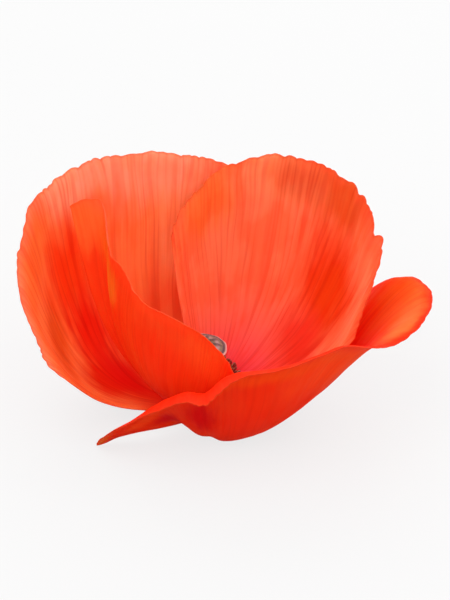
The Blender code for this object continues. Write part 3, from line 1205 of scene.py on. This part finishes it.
@dataclass
class Receptacle:
    """Cut end of the stalk that widens into the seat of the petals, ribbed lengthwise."""

    finish: StalkFinish = field(default_factory=StalkFinish)
    ribs: int = 14
    sides: int = 168
    rings: int = 70
    stalk_end: float = -1.9
    seat: float = 1.7

    def build(self, axis: Axis) -> bpy.types.Object:
        """Builds, dresses and mounts the receptacle: a turned profile that follows the ribs.

        Args:
            axis: where the flower stands.

        Returns:
            The receptacle's object.
        """
        end, seat = self.stalk_end, self.seat
        profile = np.array([
            (0.1, end), (0.6, end), (0.92, end), (1.0, end + 0.08), (1.0, -1.55), (1.03, -1.3),
            (1.3, -0.85), (1.95, -0.42), (2.26, 0.0), (2.3, 0.5), (2.3, 1.0), (2.24, 1.4),
            (1.95, seat - 0.05), (1.4, seat), (0.7, seat), (0.1, seat),
        ])
        along = np.linspace(0, 1, self.rings)
        radius, height = np.moveaxis(through(profile, along), -1, 0)
        height = np.clip(height, end, seat)
        turn = np.linspace(0, 2 * math.pi, self.sides, endpoint=False)[None]
        outer = smooth(radius, 0.9, 1.0)[:, None]
        rib = 0.5 + 0.5 * np.cos(self.ribs * turn)
        out = radius[:, None] * (1 - 0.035 * outer * (1 - rib))
        rings = np.stack([out * np.cos(turn), out * np.sin(turn), height[:, None] + 0 * turn], -1)
        cut = (1 - outer) * (1 - smooth(along, 0.2, 0.3))[:, None]
        masks = {"rib": rib * outer, "cut": cut}
        masks = {title: with_pole_values(mask, out.shape) for title, mask in masks.items()}
        points = axis.place(with_poles(rings))
        piece = mesh_object("stalk_end", points, ring_faces(self.rings, self.sides), masks)
        piece.data.materials.append(self.finish.material("stalk"))
        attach(piece, BODY)
        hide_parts("receptacle")
        LOG.info("stalk_end: %d points", len(points))
        return piece


# ---------------------------------------------------------------- the studio


@dataclass
class Studio:
    """Pale floor, soft lights from above and a camera that looks down on the blossom.

    Each light is a name, a place and a size in metres, and a power in watts. The camera sees the
    floor in its sheen colour with a glow added, and everything else sees the floor's own colour.
    """

    elevation: float = 35.0
    distance: float = 400.0
    lens: float = 150.0
    sensor: float = 36.0
    target: Colour = (4.6, 0.0, 21.5)
    floor_colour: Colour = (0.42, 0.42, 0.42)
    floor_sheen: Colour = (0.12, 0.12, 0.12)
    floor_glow: float = 0.765
    floor_reach: float = 2.0
    world_strength: float = 1.06
    lights: tuple[tuple[str, Colour, float, float], ...] = (
        ("key", (-0.18, -0.22, 0.50), 0.45, 1.35),
        ("fill", (0.40, -0.10, 0.35), 0.40, 0.6),
        ("back", (0.08, 0.38, 0.36), 0.40, 0.9),
    )

    def camera(self, axis: Axis) -> None:
        """Sets the camera: level, looking along +Y and down by the elevation at the target.

        Args:
            axis: where the flower stands.
        """
        data = bpy.data.cameras.new("camera")
        data.lens = self.lens
        data.sensor_fit = "AUTO"
        data.sensor_width = self.sensor
        data.clip_start = 0.01
        data.clip_end = 10.0
        made = bpy.data.objects.new("camera", data)
        tilt = math.radians(self.elevation)
        back = np.array([0.0, -math.cos(tilt), math.sin(tilt)]) * self.distance * MM
        made.location = axis.place(np.array(self.target)) + back
        made.rotation_euler = (math.pi / 2 - tilt, 0.0, 0.0)
        bpy.context.scene.collection.objects.link(made)
        bpy.context.scene.camera = made

    def light(self, name: str, place: Colour, size: float, power: float) -> None:
        """A square soft light, turned to the flower's middle.

        Args:
            name: the light's name.
            place: where it stands, in metres.
            size: the length of its sides, in metres.
            power: its power in watts.
        """
        data = bpy.data.lights.new(name, "AREA")
        data.shape = "SQUARE"
        data.size = size
        data.energy = power
        made = bpy.data.objects.new(name, data)
        made.location = place
        aim = np.array([0.0, 0.0, 0.02]) - np.array(place)
        flat = math.hypot(aim[0], aim[1])
        heading = math.atan2(aim[1], aim[0]) - math.pi / 2
        made.rotation_euler = (math.atan2(flat, -aim[2]), 0.0, heading)
        bpy.context.scene.collection.objects.link(made)

    def floor(self) -> None:
        """A wide pale floor at the part's ground."""
        square = np.array([(-1.0, -1.0, 0.0), (1.0, -1.0, 0.0), (1.0, 1.0, 0.0), (-1.0, 1.0, 0.0)])
        corners = self.floor_reach * square
        made = mesh_object("floor", corners, [[0, 1, 2, 3]], {})
        material, wire, shader = start_material("floor")
        seen = wire.node("ShaderNodeLightPath").outputs["Is Camera Ray"]
        wire.feed(shader.inputs["Emission Strength"], wire.sum("MULTIPLY", seen, self.floor_glow))
        shader.inputs["Emission Color"].default_value = (1.0, 1.0, 1.0, 1.0)
        colour = wire.blend(seen, self.floor_colour, self.floor_sheen)
        wire.feed(shader.inputs["Base Color"], colour)
        shader.inputs["Roughness"].default_value = 0.9
        shader.inputs["Specular IOR Level"].default_value = 0.1
        made.data.materials.append(material)

    def build(self, axis: Axis) -> None:
        """Builds the whole studio.

        Args:
            axis: where the flower stands.
        """
        self.floor()
        self.camera(axis)
        for light in self.lights:
            self.light(*light)
        world = bpy.data.worlds.new("studio")
        world.use_nodes = True
        colour, strength = world.node_tree.nodes["Background"].inputs[:2]
        colour.default_value = (1.0, 1.0, 1.0, 1.0)
        strength.default_value = self.world_strength
        bpy.context.scene.world = world
        bpy.context.scene.view_settings.view_transform = "Standard"
        LOG.info("studio: floor, camera and three lights")


# ---------------------------------------------------------------- this blossom


def on_face(face: Face, *rows: tuple) -> tuple[Patch, ...]:
    """Patches of one face, from rows of place and reach across and along, colour and share."""
    return tuple(Patch(face, *row) for row in rows)


OUTSIDE = Tint(
    blade=(0.86, 0.045, 0.008), rim=(0.94, 0.090, 0.020), heart=(0.60, 0.010, 0.005),
    wash=(0.97, 0.70, 0.60), vein=(0.85, 0.60, 0.50),
    heart_reach=0.4, wash_share=0.5, vein_share=0.5,
)

OUTER_BACK = PetalFinish(
    inner=Tint(
        # The deep crimson heart is partly the petal's darker base and partly painted shade in the
        # crease where the left inner petal stands against this face.
        blade=(1.00, 0.19, 0.051), rim=(1.00, 0.19, 0.090), heart=(0.71, 0.002, 0.002),
        heart_reach=0.24, vein_share=0.7, wash_share=0.6,
    ),
    outer=OUTSIDE,
    patches=on_face(
        Face.INNER,
        (0.66, 0.95, 0.28, 0.24, (0.96, 0.29, 0.16)),
        (0.46, 0.95, 0.11, 0.17, (0.96, 0.33, 0.19)),
        (0.29, 0.86, 0.14, 0.16, (0.96, 0.15, 0.029)),
        # Painted shade: darker patches deepen the valley beside the left inner petal's margin,
        # which shades this face.
        (0.25, 0.58, 0.15, 0.18, (0.77, 0.10, 0.014)),
        (0.33, 0.26, 0.26, 0.24, (0.68, 0.014, 0.002)),
        # Painted light: these two patches lift and saturate the colour where the right inner petal
        # shades this face.
        (0.78, 0.68, 0.15, 0.22, (1.00, 0.30, 0.11)),
        (0.74, 0.46, 0.14, 0.18, (0.93, 0.13, 0.035)),
        (0.53, 0.82, 0.06, 0.08, (1.00, 0.090, 0.020), 0.6),
        # Painted shade: more darker patches down the same valley, towards the claw.
        (0.42, 0.66, 0.14, 0.27, (0.84, 0.046, 0.004)),
        (0.44, 0.42, 0.16, 0.26, (0.77, 0.015, 0.002)),
        (0.44, 0.20, 0.18, 0.22, (0.69, 0.005, 0.002)),
    ),
    vein_count=50.0, edge=(0.52, 0.065, 0.018),
)

OUTER_FRONT = PetalFinish(
    inner=Tint(
        # The inner rim is darker than the blade: painted shade that tones down the bright lit lip.
        blade=(1.00, 0.022, 0.002), rim=(0.84, 0.032, 0.008), heart=(0.90, 0.040, 0.012),
        heart_reach=0.4, vein_share=0.4, wash_share=0.5,
    ),
    outer=Tint(
        blade=(0.89, 0.028, 0.002), rim=(0.90, 0.055, 0.010), heart=(0.60, 0.006, 0.002),
        vein=(0.88, 0.68, 0.60),
        heart_reach=0.3, vein_share=0.45, wash_share=0.5,
    ),
    patches=on_face(
        Face.INNER,
        (0.83, 0.78, 0.15, 0.24, (0.92, 0.11, 0.009)),
        (0.74, 0.84, 0.09, 0.14, (0.92, 0.13, 0.025)),
    ) + on_face(
        Face.OUTER,
        (0.42, 0.42, 0.16, 0.20, (0.86, 0.020, 0.002)),
        (0.64, 0.70, 0.17, 0.24, (0.99, 0.055, 0.003)),
        (0.50, 0.76, 0.22, 0.08, (0.95, 0.063, 0.002), 0.9),
        # Painted shade: two dark crimson patches on the underside, which faces down, away from the
        # light.
        (0.30, 0.55, 0.10, 0.24, (0.64, 0.002, 0.002)),
        (0.17, 0.48, 0.07, 0.16, (0.64, 0.004, 0.006)),
        (0.05, 0.90, 0.06, 0.13, (0.80, 0.11, 0.010), 0.9),
        (0.13, 0.68, 0.05, 0.12, (0.98, 0.060, 0.006), 0.8),
    ),
    vein_count=56.0, edge=(0.55, 0.030, 0.006),
)

INNER_LEFT = PetalFinish(
    inner=Tint(
        blade=(0.95, 0.080, 0.025), rim=(1.00, 0.14, 0.060), heart=(0.92, 0.050, 0.050),
        heart_reach=0.35, vein_share=0.35, wash_share=0.35,
    ),
    outer=Tint(
        # The outer face runs from a dark heart to a bright rim: partly the petal's own tone, partly
        # painted shade low down by the crease and painted light high up, where the light falls.
        blade=(0.76, 0.039, 0.004), rim=(0.96, 0.055, 0.008), heart=(0.62, 0.002, 0.002),
        vein=(0.85, 0.62, 0.50),
        heart_reach=0.55, vein_share=0.5, wash_share=0.5,
    ),
    patches=on_face(
        Face.OUTER,
        (0.04, 0.92, 0.13, 0.20, (0.92, 0.11, 0.018)),
        (0.18, 0.80, 0.14, 0.17, (0.74, 0.13, 0.009)),
        (0.57, 0.66, 0.20, 0.24, (0.79, 0.028, 0.002)),
        (0.78, 0.84, 0.20, 0.20, (0.83, 0.057, 0.006)),
        (0.12, 1.00, 0.14, 0.12, (1.00, 0.11, 0.040), 0.5),
    ),
    vein_count=60.0, edge=(0.72, 0.060, 0.012),
)

INNER_RIGHT = PetalFinish(
    inner=Tint(
        blade=(0.97, 0.18, 0.074), rim=(0.98, 0.11, 0.040), heart=(0.89, 0.036, 0.075),
        heart_reach=0.62, vein_share=0.65, wash_share=0.7,
    ),
    outer=OUTSIDE,
    patches=on_face(
        Face.INNER,
        (0.62, 0.62, 0.22, 0.30, (0.69, 0.043, 0.003)),
        (0.64, 0.38, 0.22, 0.18, (0.75, 0.041, 0.019)),
        (0.18, 0.90, 0.15, 0.22, (0.94, 0.16, 0.032)),
        (0.04, 0.86, 0.07, 0.26, (0.90, 0.16, 0.048), 0.9),
        (0.34, 0.94, 0.14, 0.15, (0.86, 0.24, 0.10)),
        (0.56, 0.91, 0.15, 0.17, (0.66, 0.079, 0.014)),
        (0.43, 0.90, 0.12, 0.12, (0.73, 0.18, 0.059), 0.9),
        (0.44, 0.90, 0.10, 0.10, (0.62, 0.060, 0.020), 0.45),
    ),
    vein_count=48.0, edge=(0.50, 0.050, 0.012),
)


def stations(rows: tuple[tuple[float, ...], ...]) -> tuple[Station, ...]:
    """Stations from rows of azimuth, radius, height, heel angle, lean and, where it's long, lip."""
    return tuple(Station(*row) for row in rows)


def petals() -> tuple[Petal, ...]:
    """The four petals, with the same main form as their solids.

    Returns:
        The petals.
    """
    rise = 1.15
    return (
        Petal(
            "petal_back_outer", "petal_outer_back", "petal_outer", OUTER_BACK,
            stations((
                (204, 24.6, 13.9, 8, 46), (192, 27.3, 20.8, -2, 60), (174, 28.8, 29.0, -9, 70),
                (156, 28.6, 33.8, -14, 76), (136, 27.3, 35.6, -19, 80), (116, 25.7, 35.3, -24, 82),
                (97, 24.9, 34.3, -28, 82), (79, 25.3, 32.1, -29, 82), (58, 27.5, 25.0, -22, 75),
            )),
            claw_azimuth=140, claw_half=-55, heel=0.55, phase=0.4, seed=3,
        ),
        Petal(
            "petal_front_outer", "petal_outer_front", "petal_outer", OUTER_FRONT,
            stations((
                (206, 18.4, -1.8, 18, -20), (214, 18.6, 1.3, 20, 0, 1.2),
                (236, 17.2, 8.3, 18, 30, 3.0), (262, 19.0, 14.4, -10, 55, 3.2),
                (275, 19.9, 15.6, -15, 58, 3.4),
                (288, 20.4, 19.3, -30, 60, 2.4), (307, 24.0, 22.4, -20, 52, 0.8),
                (325, 28.3, 23.5, -14, 44, 0.8), (339, 32.5, 20.8, -7, 29, 1.5),
                (351, 37.1, 21.5, 2, 23, 2.0), (366, 37.8, 21.4, -27, 28, 2.0),
                (376, 34.8, 19.2, -8, 35, 1.5), (386, 30.0, 13.0, 0, 40),
            )),
            claw_azimuth=313, claw_half=64, heel=0.52, tail=0.27, spread=2.2, lip_start=0.86,
            teeth=10, phase=1.4, corner=0.04, rounding=0.04, wave=0.3, seed=5,
            crumple=0.10, frill=0.012, frills=52.0,
        ),
        Petal(
            "petal_left_inner", "petal_inner_left", "petal_inner", INNER_LEFT,
            stations((
                (156, 22.6, 34.8, 36, 76), (157, 16.7, 36.4, 38, 85), (168, 14.2, 30.0, 38, 98),
                (182, 11.9, 28.5, 35, 103), (199, 10.7, 26.6, 34, 106), (223, 9.8, 25.3, 31, 106),
                (250, 10.2, 24.8, 25, 102), (271, 11.5, 23.9, 18, 96), (283, 13.3, 22.1, 15, 90),
                (291, 14.4, 19.4, 15, 84), (297, 14.3, 14.5, 15, 78),
            )),
            claw_azimuth=232, claw_half=35, claw_rise=rise, heel=0.385, tail=0.38,
            ragged=0.015, teeth=7, phase=2.2, corner=0.06, rounding=0.04, wave=0.2, waves=4, seed=7,
            crumple=0.08, crinkle=0.03, frill=0.009, frills=38.0,
        ),
        Petal(
            "petal_right_inner", "petal_inner_right", "petal_inner", INNER_RIGHT,
            stations((
                (103, 20.6, 22.3, 0, 66), (95, 21.4, 26.6, 0, 75), (80, 22.6, 32.9, 0, 80),
                (63, 25.0, 35.5, 0, 80), (47, 27.3, 36.2, 0, 78), (30, 28.4, 35.7, 0, 76),
                (12, 29.4, 34.7, 0, 74), (-3, 29.2, 30.4, 0, 72), (-14, 27.4, 23.5, 0, 66),
                (-22, 25.0, 17.5, 0, 58),
            )),
            claw_azimuth=45, claw_half=-45, claw_rise=rise, heel=0.42, tail=0.37, spread=2.4,
            ragged=0.028, teeth=8, phase=3.1, wave=0.3, waves=5, seed=9,
            notches=(Notch(0.60, 0.022, 0.022), Notch(0.70, 0.03, 0.045)), frills=33.0,
        ),
    )


def main() -> None:
    """Builds the blossom and its studio."""
    logging.basicConfig(level=logging.INFO, format="%(name)s: %(message)s", stream=sys.stdout)
    receptacle = Receptacle()
    axis = Axis.of_frame(receptacle.stalk_end)
    receptacle.build(axis)
    for petal in petals():
        petal.build(axis)
    Pistil().build(axis)
    Stamens().build(axis)
    Studio().build(axis)


if __name__ == "__main__":
    main()
